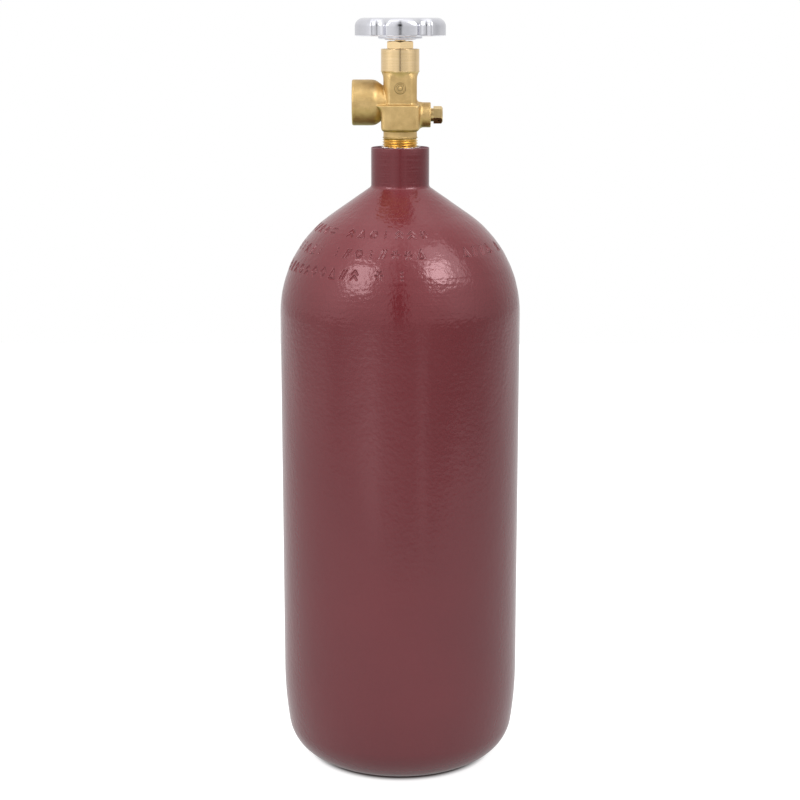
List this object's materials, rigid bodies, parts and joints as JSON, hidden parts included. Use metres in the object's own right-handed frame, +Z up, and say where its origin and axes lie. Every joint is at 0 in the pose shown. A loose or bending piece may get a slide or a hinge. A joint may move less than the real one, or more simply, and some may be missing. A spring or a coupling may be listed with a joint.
{
  "type": "gas cylinder with handwheel valve",
  "caption": "Upright steel gas cylinder with a domed shoulder and narrow neck, carrying a brass valve with a side outlet, a safety plug and a lobed handwheel.",
  "frame": {"origin": "centre of the foot, on the floor", "axes": "+Z up along the cylinder's axis, outlet towards -X, safety plug towards +X"},
  "size_m": [0.1778, 0.1778, 0.5571],
  "materials": {
    "painted_steel": "glossy sprayed paint with a slight orange peel",
    "brass": "forged and tumbled, fine grain",
    "machined_brass": "turned, satin",
    "polished_alloy": "polished die casting",
    "steel": "zinc plated",
    "ptfe_tape": "soft white film",
    "nylon": "matte",
    "rubber": "matte",
    "copper": "rolled copper foil"
  },
  "bodies": {
    "tank": {"cylinder_shell": "painted_steel", "thread_seal_tape": "ptfe_tape", "valve_body": "brass", "gland_nut": "machined_brass", "gland_gasket": "ptfe_tape", "lower_thrust_washer": "nylon", "upper_thrust_washer": "nylon", "safety_plug": "machined_brass", "rupture_disc": "copper", "safety_gasket": "ptfe_tape"},
    "wheel": {"handwheel": "polished_alloy", "handwheel_spring": "steel", "handwheel_washer": "steel", "handwheel_nut": "steel", "upper_spindle": "machined_brass", "spindle_o_ring": "rubber", "spindle_backup_ring": "ptfe_tape"},
    "seat": {"seat_disc": "nylon"},
    "plug": {"lower_spindle": "machined_brass", "seat_retainer": "machined_brass"}
  },
  "joints": [
    {"name": "handwheel_turn", "type": "hinge", "parent": "tank", "child": "wheel", "pos_m": [0, 0, 0.55], "axis": [0, 0, 1], "range_deg": [0, 900]},
    {"name": "seat_lift", "type": "slide", "parent": "tank", "child": "seat", "axis": [0, 0, 1], "range_m": [0, 0.00375]},
    {"name": "plug_turn", "type": "hinge", "parent": "seat", "child": "plug", "pos_m": [0, 0, 0.5], "axis": [0, 0, 1], "range_deg": [0, 900]}
  ],
  "couplings": [
    {"joint": "seat_lift", "follows": "handwheel_turn", "m_per_rad": 0.0002387},
    {"joint": "plug_turn", "follows": "handwheel_turn", "ratio": 1}
  ]
}
